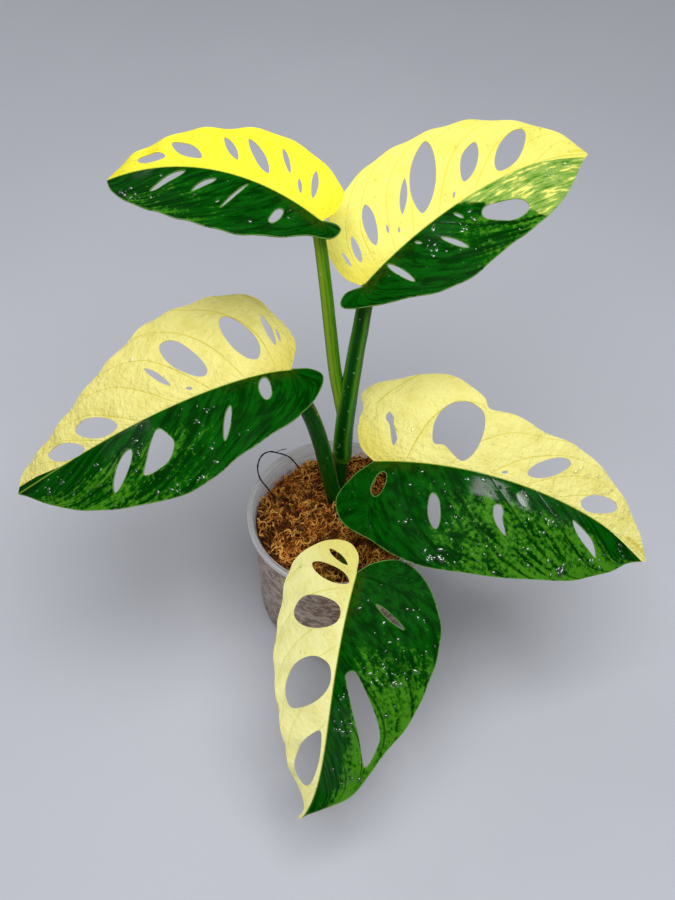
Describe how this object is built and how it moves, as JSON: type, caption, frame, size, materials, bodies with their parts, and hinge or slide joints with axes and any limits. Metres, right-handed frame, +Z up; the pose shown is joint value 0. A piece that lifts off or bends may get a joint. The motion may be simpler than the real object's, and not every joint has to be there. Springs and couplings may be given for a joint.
{
  "type": "potted monstera plant",
  "caption": "Half-moon variegated monstera with holed leaves on arching sheathed stalks, growing from moss in a clear round nursery pot.",
  "frame": {"origin": "middle of the pot's flat underside", "axes": "+Z up out of the pot, -Y towards the plant's front, +X to the right of someone who looks at the front"},
  "size_m": [0.3314, 0.2755, 0.3047],
  "materials": {
    "clear_pot": "thin translucent plastic, smooth, slightly misted inside",
    "moss": "damp golden-brown sphagnum strands, matte",
    "stem": "dark green plant stem, satin",
    "stalk": "green leaf stalks, satin, with fine droplets",
    "leaf": "wet waxy leaf, one half pale yellow and the other dark green",
    "root": "thin black root, matte"
  },
  "bodies": {
    "root": {"pot": "clear_pot", "moss": "moss", "stem": "stem", "stalk_upper_left": "stalk", "stalk_upper_right": "stalk", "stalk_left": "stalk", "stalk_right": "stalk", "stalk_front": "stalk", "leaf_upper_left": "leaf", "leaf_upper_right": "leaf", "leaf_left": "leaf", "leaf_right": "leaf", "leaf_front": "leaf", "wiry_root": "root"}
  },
  "joints": []
}
